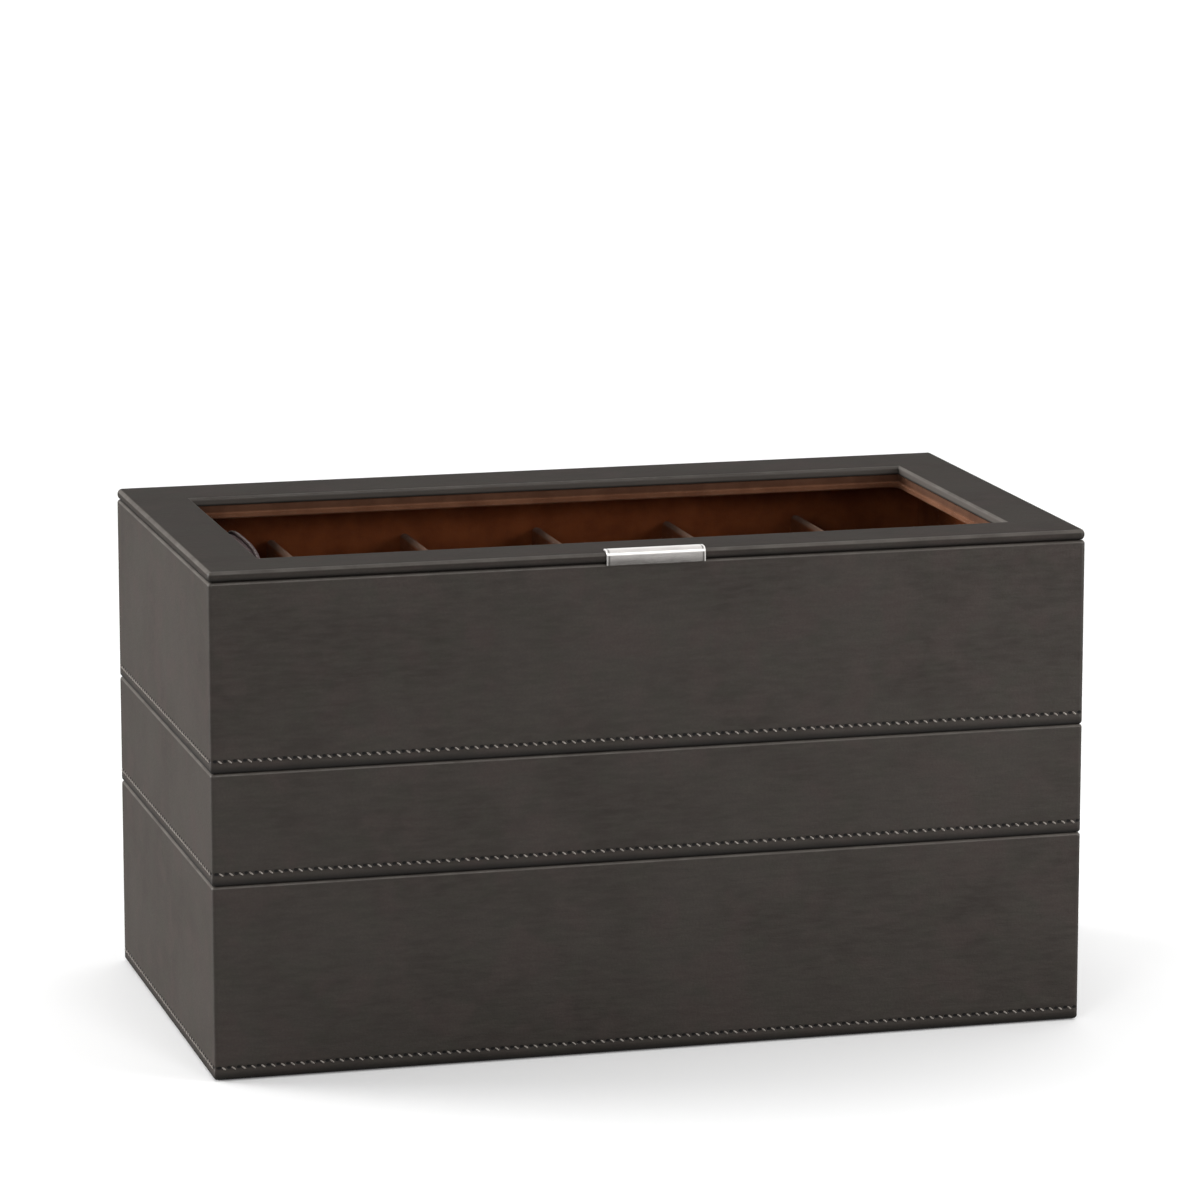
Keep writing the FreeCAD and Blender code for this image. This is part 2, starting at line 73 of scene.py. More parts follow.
# Stitching: a row of slanted threads round each tray, with a hole between two threads
STITCH_RISE = 4.6 * MM          # from the tray's lower edge up to the row
STITCH_PITCH = 3.75 * MM        # wanted step, evened out to fit each side
STITCH_END = 1.7 * MM           # from a corner to the end of the row
STITCH_HALF = 0.72 * MM         # half the length of a thread along the row
STITCH_SLANT = 0.52 * MM        # half its fall from left to right
STITCH_PROUD = 0.2 * MM         # its middle outside the leatherette
STITCH_DIVE = 0.42 * MM         # from its middle in to its ends
STITCH_BOW = 0.06 * MM          # most that its ends stray up or down
THREAD_RADIUS = 0.31 * MM
THREAD_TAPER = 0.25             # share of the radius lost towards the ends
HOLE_SHIFT = 0.07               # of the holes above the row, in pitches
HOLE_FLATNESS = 1.5             # how much wider than high the holes are

# Cushions: a band that is drawn in, sewn to a crown above it and to a foot below it
CROWN_SEAM_BELOW_TOP = 6.0 * MM
FOOT_SEAM_RISE = 2.0 * MM
FOOT_SEAM_INSET = 0.4 * MM
FLARE_HEIGHT = 5.0 * MM         # over which the band widens to the crown seam
WAIST = 1.4 * MM                # how far the band is drawn in
STANDING_BULGE = 4.6 * MM       # of the standing cushion's foot into its own cell
OUTLINE_POWER = 3.2             # 2 makes an ellipse, more a squarer outline
WELT_RADIUS = 0.75 * MM
WELT_STEPS = 120
DASH_STEPS = 300                # steps round a seam, of which each dash takes three points
DASH_EVERY = 4
DASH_RADII = (0.18 * MM, 0.28 * MM, 0.18 * MM)
DASH_LIFT = 0.35 * MM           # of the dashes above the middle of the welt
DASH_OUT = 0.6 * MM             # of the dashes outside the middle of the welt

# Ring rolls: how much smaller each starts than its solid, before it is blown up, and
# how its ends are pinched, as shares of the length and of the full section there
ROLL_SIDE_PLAY = 0.6 * MM
ROLL_END_PLAY = 1.0 * MM
ROLL_PINCH = ((0.0, 0.80), (0.015, 0.95), (0.05, 1.0), (0.5, 1.0),
              (0.95, 1.0), (0.985, 0.95), (1.0, 0.80))

# Cloth: run at a larger size, where the solver is steady, and kept within a cap
SIM_SCALE = 10.0
SIM_FRAMES = 20
PRESSURE = 4.0
BENDING = 0.3
CUSHION_VOXEL = 3.2 * MM
CUSHION_CAP = 2.2 * MM
ROLL_VOXEL = 2.4 * MM
ROLL_CAP = 0.5 * MM

# The lid's window, which bounds the painted highlight on its inner wall: half sizes just outside
# its edge, and the height where the pane lies
WINDOW_REACH = 148 * MM
WINDOW_DEPTH_REACH = 72 * MM
WINDOW_FOOT = 189.5 * MM
WINDOW_FOOT_FADE = 1.1 * MM
BEAD_TOP = 185.0 * MM           # top of the retaining frame's bead; the band above it has painted shade

# Height above a cover's lower edge at which the painted shade along that edge ends
TRAY_FADE = 3.8 * MM
LID_FADE = 2.3 * MM

# Colours of the leatherette, as linear light
HIDE_DARK = (0.0250, 0.0199, 0.0170)
HIDE_LIGHT = (0.0375, 0.0318, 0.0277)
HIDE_OLIVE = (0.0300, 0.0290, 0.0225)
HIDE_RED = (0.0420, 0.0300, 0.0275)
HIDE_WRINKLE = (0.052, 0.044, 0.038)
HIDE_PORE = (0.027, 0.022, 0.019)
# The rest are painted light: shade in the stitch groove, highlights on upper rims and the window's
# inner wall, and near-black shade along lower rims, over the lid and in the stitch holes
GROOVE_PAINTED_SHADE = (0.022, 0.018, 0.015)
PAINTED_EDGE_HIGHLIGHT = (0.112, 0.101, 0.090)
PAINTED_WALL_HIGHLIGHT = (0.098, 0.088, 0.079)
PAINTED_SHADE = (0.002, 0.0015, 0.001)
HOLE_PAINTED_SHADE = (0.002, 0.0015, 0.0015)

# Colours of the tab: painted reflection from its foot to its top, brushed strokes, painted dark
# lines and painted highlights
TAB_FOOT_PAINTED_REFLECTION = (0.100, 0.094, 0.089)
TAB_TOP_PAINTED_REFLECTION = (0.42, 0.40, 0.385)
TAB_STROKE = (0.24, 0.228, 0.218)
TAB_PAINTED_DARK_LINE = (0.035, 0.032, 0.030)
TAB_PAINTED_HIGHLIGHT = (0.80, 0.78, 0.755)

GLASS_IOR = 1.5
FLOOR_GLOW = 0.12               # of the floor where it is seen, so that it is white there
FLOOR_SIZE = 30
ROOM_LEVEL = 0.18               # of the world as a light

# Suns: azimuth (0 shines from the front, 90 from the right), elevation, strength, width
SUNS = {
    "left_lamp": (-122, 6, 6.6, 40),
    "top_lamp": (-20, 80, 0.35, 26),
    "back_lamp": (172, 52, 1.5, 90),
    "front_lamp": (15, 48, 0.32, 10),
}

# Square lamps near the object: place, target, size, power
SOFTBOXES = {
    "left_softbox": ((-0.55, -0.90, 0.50), (0.05, 0.05, 0.17), 0.3, 1.8),
    "right_lamp": ((0.62, -0.52, 0.32), (0.10, -0.09, 0.14), 0.4, 3.4),
}

# The photograph's view, from a camera fitted to it: down and to the right, in degrees
CAMERA_PLACE = (-0.5525, -2.0636, 0.5700)
CAMERA_DOWN = 10.95
CAMERA_RIGHT = 15.08
CAMERA_LENS = 167.36
CAMERA_SENSOR = 36.0


class Look:
    """A node material: a Principled surface, and short ways to add nodes before it."""

    def __init__(self, name, **sockets):
        self.material = bpy.data.materials.new(name)
        self.material.use_nodes = True
        self.tree = self.material.node_tree
        self.surface = self.tree.nodes["Principled BSDF"]
        self.output = self.tree.nodes["Material Output"]
        for socket, value in sockets.items():
            self.surface.inputs[socket.replace("_", " ")].default_value = value
        spot = self.node("TexCoord")
        self.place = spot.outputs["Object"]
        self.normal = spot.outputs["Normal"]

    def node(self, kind, *values, **settings):
        """A new node. Values go to its first inputs: a socket is linked, a number is set."""
        made = self.tree.nodes.new("ShaderNode" + kind)
        for key, value in settings.items():
            setattr(made, key, value)
        for number, value in enumerate(values):
            self.feed(made.inputs[number], value)
        return made

    def feed(self, socket, value):
        """Links a socket to another one, or sets it."""
        if isinstance(value, bpy.types.NodeSocket):
            self.tree.links.new(value, socket)
        elif value is not None:
            socket.default_value = value

    def at(self, axis):
        """The place along one axis, in metres."""
        return self.node("SeparateXYZ", self.place).outputs[axis]

    def facing(self, axis):
        """How far the surface faces along one axis, from -1 to 1."""
        return self.node("SeparateXYZ", self.normal).outputs[axis]

    def calc(self, operation, first, *others):
        """Arithmetic on one value, or step by step on several."""
        if not others:
            return self.node("Math", first, operation=operation).outputs[0]
        for other in others:
            first = self.node("Math", first, other, operation=operation).outputs[0]
        return first

    def stretched(self, x, y, z):
        """The place, scaled along each axis."""
        made = self.node("Mapping", self.place)
        made.inputs["Scale"].default_value = (x, y, z)
        return made.outputs[0]

    def noise(self, scale, detail, place=None, roughness=0.55):
        """Cloudy noise from 0 to 1, so many lumps to the metre."""
        made = self.node("TexNoise", place or self.place)
        made.inputs["Scale"].default_value = scale
        made.inputs["Detail"].default_value = detail
        made.inputs["Roughness"].default_value = roughness
        return made.outputs["Fac"]

    def cells(self, scale, feature="F1"):
        """Distance within round cells, so many to the metre."""
        made = self.node("TexVoronoi", self.place, feature=feature)
        made.inputs["Scale"].default_value = scale
        return made.outputs["Distance"]

    def spread(self, value, low, high, out_low=0.0, out_high=1.0):
        """Stretches low..high to out_low..out_high, with smooth ends."""
        made = self.node("MapRange", value, low, high, out_low, out_high,
                         interpolation_type="SMOOTHSTEP")
        return made.outputs[0]

    def blend(self, share, first, second):
        """Colour between two, by a share."""
        made = self.node("Mix", data_type="RGBA")
        self.feed(made.inputs[0], share)
        for number, colour in ((6, first), (7, second)):
            plain = not isinstance(colour, bpy.types.NodeSocket)
            self.feed(made.inputs[number], (*colour, 1) if plain else colour)
        return made.outputs[2]

    def tinted(self, colour, pattern, low, high, share, tint):
        """A colour that takes up to a share of a tint, as a pattern goes from low to high."""
        return self.blend(self.spread(pattern, low, high, 0.0, share), colour, tint)

    def relief(self, height, millimetres, below=None):
        """Bump whose height of 1 is so many millimetres, over another bump."""
        made = self.node("Bump")
        made.inputs["Distance"].default_value = millimetres * MM
        self.feed(made.inputs["Height"], height)
        self.feed(made.inputs["Normal"], below)
        return made.outputs[0]

    def finish(self, colour, roughness=None, normal=None):
        """Joins the worked-out colour, roughness and bump to the surface."""
        self.feed(self.surface.inputs["Base Color"], colour)
        self.feed(self.surface.inputs["Roughness"], roughness)
        self.feed(self.surface.inputs["Normal"], normal)
        return self.material


def outline_size(node):
    """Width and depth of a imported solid."""
    low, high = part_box(node)
    return high.x - low.x, high.y - low.y


def stitch_count(side_length):
    """Stitches along a side, an even number."""
    return 2 * round((side_length - 2 * STITCH_END) / STITCH_PITCH / 2)


def stitch_pitch(side_length):
    """From stitch to stitch along a side."""
    return (side_length - 2 * STITCH_END) / stitch_count(side_length)


def stitch_dents(look, cover):
    """How deep a cover is at its stitched row: holes between threads, and the groove."""
    width, depth = outline_size(cover)
    row_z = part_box(cover)[0].z + STITCH_RISE
    along_x = look.calc("GREATER_THAN", look.calc("ABSOLUTE", look.facing(Y)), 0.7)
    steps_x = look.calc("DIVIDE", look.at(X), stitch_pitch(width))
    steps_y = look.calc("DIVIDE", look.at(Y), stitch_pitch(depth))
    steps = look.node("Mix", along_x, None, steps_y, steps_x).outputs[0]
    from_hole = look.calc("PINGPONG", steps, 0.5)
    across = look.calc("DIVIDE", look.calc("SUBTRACT", look.at(Z), row_z), STITCH_PITCH)
    above = look.calc("MULTIPLY", look.calc("SUBTRACT", across, HOLE_SHIFT), HOLE_FLATNESS)
    ring = look.node("CombineXYZ", from_hole, above, 0.0).outputs[0]
    distance = look.node("VectorMath", ring, operation="LENGTH").outputs["Value"]
    holes = look.spread(distance, 0.16, 0.30, 1.0, 0.0)
    groove = look.spread(look.calc("ABSOLUTE", across), 0.05, 0.42, 1.0, 0.0)
    return holes, groove


def painted_edge_highlights(look, uneven):
    """Upper rounded rims, where the leatherette is pulled over: a painted highlight, lighter in
    colour and less rough.
    """
    rising = look.spread(look.facing(Z), 0.18, 0.45)
    level = look.spread(look.facing(Z), 0.86, 0.985, 1.0, 0.0)
    return look.calc("MULTIPLY", rising, level, uneven)


def painted_window_highlight(look):
    """The lid window's inner wall, where a highlight is painted lighter into the colour."""
    upright = look.spread(look.calc("ABSOLUTE", look.facing(Z)), 0.3, 0.7, 1.0, 0.0)
    inside_x = look.calc("LESS_THAN", look.calc("ABSOLUTE", look.at(X)), WINDOW_REACH)
    inside_y = look.calc("LESS_THAN", look.calc("ABSOLUTE", look.at(Y)), WINDOW_DEPTH_REACH)
    foot = look.spread(look.at(Z), WINDOW_FOOT, WINDOW_FOOT + WINDOW_FOOT_FADE)
    return look.calc("MULTIPLY", upright, inside_x, inside_y, foot)


def painted_lower_shade(look, low_z, fade):
    """Painted shade along the lower edge, where the leatherette turns under. Level undersides stay
    as they are.
    """
    height = look.calc("SUBTRACT", look.at(Z), low_z)
    edge = look.spread(height, 0.2 * MM, fade, 0.97, 0.0)
    return look.calc("MULTIPLY", edge, look.spread(look.facing(Z), -0.97, -0.8))


def hide_colour(look, patches, wrinkles, grain):
    """The leatherette's colour before painted shade and highlights: clouds, patches, wrinkles and
    pores.
    """
    colour = look.blend(look.spread(look.noise(26, 4), 0.3, 0.7), HIDE_DARK, HIDE_LIGHT)
    colour = look.tinted(colour, patches, 0.4, 0.7, 0.6, HIDE_OLIVE)
    colour = look.tinted(colour, look.noise(60, 3), 0.5, 0.66, 0.6, HIDE_RED)
    colour = look.tinted(colour, wrinkles, 0.3, 0.72, 0.45, HIDE_WRINKLE)
    return look.tinted(colour, grain, 0.1, 0.7, 0.3, HIDE_PORE)


def leatherette(cover, fade, shine, painted_lid_shade=0.0, stitched=False):
    """Satin grained leatherette with fine level wrinkles, and a stitched row where it has one. Its
    colour also holds painted shade and painted highlights.
    """
    look = Look(cover, Specular_IOR_Level=shine)
    patches = look.noise(85, 3)
    grain = look.cells(1250, "SMOOTH_F1")
    wrinkles = look.noise(330, 5, look.stretched(0.3, 0.3, 1.6), 0.66)
    creases = look.noise(120, 4, look.stretched(0.35, 0.35, 1.8), 0.7)
    highlit_edges = painted_edge_highlights(look, look.spread(patches, 0.25, 0.75, 0.55, 1.0))
    colour = hide_colour(look, patches, wrinkles, grain)
    # painted shade in the seam along the cover's lower edge
    colour = look.blend(painted_lower_shade(look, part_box(cover)[0].z, fade), colour, PAINTED_SHADE)
    if painted_lid_shade:
        # painted shade: the lid's copy of the leatherette is dimmed by this share, a shaded copy of
        # the trays' leatherette
        colour = look.blend(painted_lid_shade, colour, PAINTED_SHADE)
        # painted highlight on the window's inner wall
        colour = look.blend(look.calc("MULTIPLY", painted_window_highlight(look), 0.8), colour, PAINTED_WALL_HIGHLIGHT)
    # painted highlight along upper rims
    colour = look.blend(look.calc("MULTIPLY", highlit_edges, 0.85), colour, PAINTED_EDGE_HIGHLIGHT)
    slanting = look.node("LayerWeight", 0.5).outputs["Facing"]
    roughness = look.calc("ADD", look.spread(slanting, 0.25, 0.8, 0.34, 0.97),
                          look.spread(wrinkles, 0.25, 0.75, -0.05, 0.05))
    roughness = look.calc("SUBTRACT", roughness, look.calc("MULTIPLY", highlit_edges, 0.14))
    normal = look.relief(look.spread(creases, 0.47, 0.53), 0.03)
    normal = look.relief(wrinkles, 0.12, normal)
    normal = look.relief(grain, 0.05, normal)
    if stitched:
        holes, groove = stitch_dents(look, cover)
        # painted shade in the stitch groove, and near-black painted shade in the holes
        colour = look.blend(look.calc("MULTIPLY", groove, 0.3), colour, GROOVE_PAINTED_SHADE)
        colour = look.blend(look.calc("MULTIPLY", holes, 0.95), colour, HOLE_PAINTED_SHADE)
        depth = look.calc("ADD", look.calc("MULTIPLY", holes, 0.6),
                          look.calc("MULTIPLY", groove, 0.4))
        normal = look.relief(look.calc("MULTIPLY", depth, -1.0), 0.5, normal)
    return look.finish(colour, roughness, normal)


def suede(name, dark, light, sheen, painted_shade_above=None, painted_top_highlight=None):
    """Brushed suede: soft cloudy nap marks, a fine pile and a little sheen, with a painted
    highlight on upward faces or painted shade above a bead where asked.
    """
    look = Look(name, Specular_IOR_Level=0.1, Sheen_Weight=sheen, Sheen_Roughness=0.5)
    look.surface.inputs["Sheen Tint"].default_value = (*light, 1)
    clouds = look.noise(70, 4, None, 0.6)
    pile = look.noise(2600, 2)
    fibres = look.cells(1700)
    colour = look.blend(look.spread(clouds, 0.3, 0.7), dark, light)
    colour = look.tinted(colour, pile, 0.35, 0.75, 0.3, [c * 1.35 for c in light])
    if painted_top_highlight is not None:
        # painted highlight: faces that look up are lighter
        colour = look.tinted(colour, look.facing(Z), 0.25, 0.8, 0.85, painted_top_highlight)
    # painted shade on the band above the bead
    if painted_shade_above is not None:
        colour = look.tinted(colour, look.at(Z), painted_shade_above - 0.4 * MM, painted_shade_above + 0.4 * MM,
                             0.5, (0.040, 0.022, 0.016))
    normal = look.relief(clouds, 0.25)
    normal = look.relief(pile, 0.035, normal)
    normal = look.relief(fibres, 0.0175, normal)
    return look.finish(colour, look.spread(pile, 0.3, 0.7, 0.82, 0.97), normal)


def felt():
    """Black pressed felt with stray fibres."""
    look = Look("felt", Specular_IOR_Level=0.1, Sheen_Weight=0.25, Sheen_Roughness=0.4)
    fibres = look.noise(1500, 4, look.stretched(0.4, 1.0, 1.0), 0.7)
    colour = look.blend(look.spread(fibres, 0.35, 0.7), (0.012, 0.012, 0.013),
                        (0.035, 0.034, 0.034))
    colour = look.tinted(colour, look.noise(120, 3), 0.4, 0.8, 0.3, (0.05, 0.048, 0.046))
    return look.finish(colour, 0.95, look.relief(fibres, 0.25))


def board():
    """Bare fibreboard: flecks of pressed wood."""
    look = Look("board", Specular_IOR_Level=0.2)
    flecks = look.noise(420, 5, look.stretched(0.35, 1.0, 1.0), 0.65)
    colour = look.blend(look.spread(flecks, 0.35, 0.68), (0.27, 0.18, 0.11), (0.47, 0.35, 0.24))
    colour = look.tinted(colour, look.noise(3000, 2), 0.5, 0.75, 0.3, (0.16, 0.1, 0.06))
    return look.finish(colour, 0.8, look.relief(flecks, 0.12))


def brush_strokes(look):
    """Fine brushed lines along X."""
    return look.noise(9000, 3, look.stretched(0.03, 1.0, 1.0), 0.6)


def brushed(name, tint, low, high):
    """Satin metal with brushed lines, its roughness from low to high."""
    look = Look(name, Metallic=1.0)
    strokes = brush_strokes(look)
    colour = look.blend(look.spread(strokes, 0.3, 0.7), [c * 0.86 for c in tint], tint)
    roughness = look.calc("ADD", look.spread(strokes, 0.25, 0.75, low, high),
                          look.spread(look.noise(160, 3), 0.35, 0.8, 0.0, 0.08))
    return look.finish(colour, roughness, look.relief(strokes, 0.006))


def tab_steel():
    """Brushed steel of the tab, with a painted reflection that dims towards its foot and painted
    highlights along its bend and its ends.
    """
    look = Look("tab_steel", Metallic=1.0)
    low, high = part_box("pull_tab")
    strokes = brush_strokes(look)
    smudge = look.noise(260, 3, look.stretched(0.4, 1.0, 1.0))
    # painted reflection: dim at the foot, light at the top
    rise = look.calc("ADD", look.spread(look.at(Z), low.z, high.z - 0.4 * MM),
                     look.spread(smudge, 0.3, 0.7, -0.12, 0.12))
    colour = look.blend(rise, TAB_FOOT_PAINTED_REFLECTION, TAB_TOP_PAINTED_REFLECTION)
    colour = look.tinted(colour, strokes, 0.3, 0.7, 0.35, TAB_STROKE)
    # a painted dark reflection line near each end
    from_end = look.calc("SUBTRACT", (high.x - low.x) / 2, look.calc("ABSOLUTE", look.at(X)))
    from_line = look.calc("ABSOLUTE", look.calc("SUBTRACT", from_end, 1.0 * MM))
    line = look.spread(from_line, 0.15 * MM, 0.45 * MM, 0.7, 0.0)
    colour = look.blend(line, colour, TAB_PAINTED_DARK_LINE)
    # painted highlights along the bend and at the ends, the right end brighter than the left
    bend = look.calc("MULTIPLY", look.spread(look.facing(Z), 0.18, 0.45),
                     look.spread(look.facing(Z), 0.45, 0.80, 1.0, 0.0))
    right = look.spread(look.at(X), high.x - 0.6 * MM, high.x - 0.3 * MM, 0.0, 0.7)
    left = look.spread(look.at(X), low.x + 0.3 * MM, low.x + 0.6 * MM, 0.25, 0.0)
    colour = look.blend(look.calc("MAXIMUM", bend, right, left), colour, TAB_PAINTED_HIGHLIGHT)
    roughness = look.spread(strokes, 0.25, 0.75, 0.24, 0.36)
    return look.finish(colour, roughness, look.relief(strokes, 0.006))


def thread(name, dark, light, fluff):
    """Sewing thread with its twist."""
    look = Look(name, Specular_IOR_Level=0.3)
    slope = look.calc("ADD", look.at(X), look.at(Y), look.at(Z))
    twist = look.calc("PINGPONG", look.calc("MULTIPLY", slope, 2400.0), 1.0)
    colour = look.blend(look.spread(twist, 0.0, 1.0), dark, light)
    colour = look.tinted(colour, look.noise(2500, 2), 0.45, 0.75, 0.4, fluff)
    return look.finish(colour, 0.65, look.relief(twist, 0.06))


def pane():
    """Clear coated glass. It bends what is seen through it, and lets light straight in."""
    look = Look("pane")
    look.tree.nodes.remove(look.surface)
    clear = look.node("BsdfTransparent", (0.95, 0.965, 0.96, 1))
    bending = look.node("BsdfRefraction", (0.975, 0.985, 0.98, 1))
    bending.inputs["IOR"].default_value = GLASS_IOR
    shine = look.node("BsdfGlossy")
    shine.inputs["Roughness"].default_value = 0.03
    slanting = look.node("LayerWeight", 0.5).outputs["Facing"]
    dust = look.spread(look.noise(9, 2), 0.3, 0.8, 0.6, 1.0)
    outside = look.calc("SUBTRACT", 1.0, look.node("NewGeometry").outputs["Backfacing"])
    share = look.calc("MULTIPLY", look.spread(slanting, 0.2, 0.75, 0.035, 0.001), dust, outside)
    seen = look.node("MixShader", share, bending.outputs[0], shine.outputs[0])
    path = look.node("LightPath").outputs
    passing = look.calc("MAXIMUM", path["Is Shadow Ray"], path["Is Diffuse Ray"])
    mixed = look.node("MixShader", passing, seen.outputs[0], clear.outputs[0])
    look.feed(look.output.inputs["Surface"], mixed.outputs[0])
    return look.material


def floor_look():
    """White floor that glows a little where it is seen: white there, and it keeps the shadow."""
    look = Look("floor", Specular_IOR_Level=0.0, Roughness=1.0)
    path = look.node("LightPath").outputs
    seen = look.calc("MAXIMUM", path["Is Camera Ray"], path["Is Glossy Ray"],
                     path["Is Transmission Ray"])
    mottle = look.spread(look.noise(3, 2), 0.2, 0.8)
    plain = look.blend(mottle, (0.80, 0.80, 0.80), (0.82, 0.82, 0.82))
    look.feed(look.surface.inputs["Emission Color"], (1, 1, 1, 1))
    look.feed(look.surface.inputs["Emission Strength"], look.calc("MULTIPLY", seen, FLOOR_GLOW))
    return look.finish(look.blend(seen, plain, (0.93, 0.93, 0.93)))


LOOKS = {
    "lid_cover": leatherette("lid_cover", LID_FADE, shine=0.10, painted_lid_shade=0.25),
    "lining": suede("lining_suede", (0.112, 0.0245, 0.0060), (0.190, 0.047, 0.0130), 0.03),
    "retainer": suede("retainer_suede", (0.125, 0.048, 0.025), (0.20, 0.085, 0.047), 0.06,
                      painted_shade_above=BEAD_TOP),
    "cushion": suede("cushion_suede", (0.080, 0.053, 0.054), (0.145, 0.100, 0.104), 0.20),
    "divider": suede("divider_suede", (0.125, 0.034, 0.012), (0.205, 0.062, 0.023), 0.06,
                     painted_top_highlight=(0.21, 0.130, 0.098)),
    "felt": felt(),
    "board": board(),
    "glass": pane(),
    "tab": tab_steel(),
    "hinge": brushed("hinge_metal", (0.58, 0.55, 0.51), 0.30, 0.42),
    "screw": brushed("screw_steel", (0.62, 0.61, 0.60), 0.28, 0.38),
    "thread": thread("thread", (0.17, 0.147, 0.128), (0.34, 0.31, 0.28), (0.42, 0.39, 0.355)),
    "welt_thread": thread("welt_thread", (0.26, 0.21, 0.195), (0.44, 0.37, 0.345),
                          (0.50, 0.44, 0.41)),
}
for cover in TRAYS:
    LOOKS[cover] = leatherette(cover, TRAY_FADE, shine=0.14, stitched=True)


def material_of(node):
    """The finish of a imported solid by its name."""
    single = {"lid_glass": "glass", "pull_tab": "tab", "bottom_felt": "felt",
              "lid_retaining_frame": "retainer"}
    if node in single:
        return LOOKS[single[node]]
    if node.startswith("hinge"):
        return LOOKS["hinge"]
    if node.endswith("screws"):
        return LOOKS["screw"]
    if node.endswith("_cover"):
        return LOOKS[node]
    if node.endswith(("_wall", "_walls", "_base", "lid_board")):
        return LOOKS["board"]
    if node.startswith("watch_box") and "divider" in node:
        return LOOKS["divider"]
    return LOOKS["lining"]


def dress(piece, material):
    """Gives a piece one material."""
    piece.data.materials.clear()
    piece.data.materials.append(material)


def new_piece(name, work, material):
    """A new object from a bmesh, shaded smooth."""
    bmesh.ops.recalc_face_normals(work, faces=work.faces)
    for face in work.faces:
        face.smooth = True
    mesh = bpy.data.meshes.new(name)
    work.to_mesh(mesh)
    work.free()
    piece = bpy.data.objects.new(name, mesh)
    bpy.context.scene.collection.objects.link(piece)
    dress(piece, material)
    return piece


def bridge(work, ring, after):
    """A belt of faces between two rings of vertices."""
    for number in range(len(ring)):
        turn = (number + 1) % len(ring)
        work.faces.new((ring[number], ring[turn], after[turn], after[number]))


def add_tube(work, path, radii, up, sides=6, closed=False):
    """Adds a tube along a path to a bmesh. Up never lies along the path."""
    rings = []
    last = len(path) - 1
    for number, point in enumerate(path):
        before = path[number - 1] if closed or number else point
        after = path[(number + 1) % len(path)] if closed or number < last else point
        along = (after - before).normalized()
        across = along.cross(up).normalized()
        outward = across.cross(along)
        ring = []
        for side in range(sides):
            angle = 2 * math.pi * side / sides
            reach = across * math.cos(angle) + outward * math.sin(angle)
            ring.append(work.verts.new(point + reach * radii[number]))
        rings.append(ring)
    following = rings[1:] + rings[:1] if closed else rings[1:]
    for ring, after in zip(rings, following):
        bridge(work, ring, after)
    if not closed:
        work.faces.new(rings[0])
        work.faces.new(rings[-1])


def add_stitch(work, turn, middle, row_z, surface):
    """One thread, slanting down to the right, that dives into the leatherette at both ends."""
    path = []
    radii = []
    bow = chance.uniform(-STITCH_BOW, STITCH_BOW)
    for step in range(-3, 4):
        share = step / 3
        proud = STITCH_PROUD - STITCH_DIVE * share ** 2
        point = Vector((middle + share * STITCH_HALF, -surface - proud,
                        row_z - share * STITCH_SLANT + bow * share ** 2))
        path.append(turn @ point)
        radii.append(THREAD_RADIUS * (1.0 - THREAD_TAPER * share ** 2))
    add_tube(work, path, radii, turn @ Vector((0, -1, 0)))


def stitching(cover, body):
    """The stitched row round one tray."""
    work = bmesh.new()
    width, depth = outline_size(cover)
    row_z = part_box(cover)[0].z + STITCH_RISE
    for number in range(4):
        length, reach = (width, depth) if number % 2 == 0 else (depth, width)
        turn = Matrix.Rotation(number * math.pi / 2, 3, "Z")
        count = stitch_count(length)
        for stitch in range(count):
            middle = (stitch - (count - 1) / 2) * stitch_pitch(length)
            add_stitch(work, turn, middle, row_z, reach / 2)
    piece = new_piece(body + "_stitching", work, LOOKS["thread"])
    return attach(piece, body)


def rounded_ring(width, length, count):
    """Points round an outline with bulging sides and soft corners."""
    points = []
    for number in range(count):
        angle = 2 * math.pi * number / count
        across = math.cos(angle)
        along = math.sin(angle)
        x = math.copysign(abs(across) ** (2 / OUTLINE_POWER), across) * width / 2
        y = math.copysign(abs(along) ** (2 / OUTLINE_POWER), along) * length / 2
        points.append(Vector((x, y, 0)))
    return points


def stacked_rings(rings):
    """A closed form through rings of points, from the lowest up."""
    work = bmesh.new()
    made = [[work.verts.new(point) for point in ring] for ring in rings]
    for ring, after in zip(made, made[1:]):
        bridge(work, ring, after)
    work.faces.new(made[0])
    work.faces.new(made[-1])
    return work


def cushion_start(width, length, height):
    """The cushion before it is blown up, from rings at a rise and an inset each."""
    seam = height - CROWN_SEAM_BELOW_TOP
    levels = [
        # the foot, drawn in below its seam
        (0.0, 2.2 * MM),
        (0.8 * MM, 1.0 * MM),
        (FOOT_SEAM_RISE, FOOT_SEAM_INSET),
        # the band
        (FOOT_SEAM_RISE + 4 * MM, WAIST),
        (seam - FLARE_HEIGHT, WAIST + 0.4 * MM),
        (seam - 0.4 * FLARE_HEIGHT, 0.6 * WAIST),
        # the low crown
        (seam, 0.0),
        (seam + 1.6 * MM, 1.6 * MM),
        (height - 2.6 * MM, 4.5 * MM),
        (height - 1.2 * MM, 9.0 * MM),
    ]
    rings = []
    for rise, inset in levels:
        ring = rounded_ring(width - 2 * inset, length - 2 * inset, 40)
        rings.append([point + UP * rise for point in ring])
    return stacked_rings(rings)


def evaluated_mesh(piece):
    """A copy of a piece's mesh with its modifiers applied."""
    graph = bpy.context.evaluated_depsgraph_get()
    return bpy.data.meshes.new_from_object(piece.evaluated_get(graph))


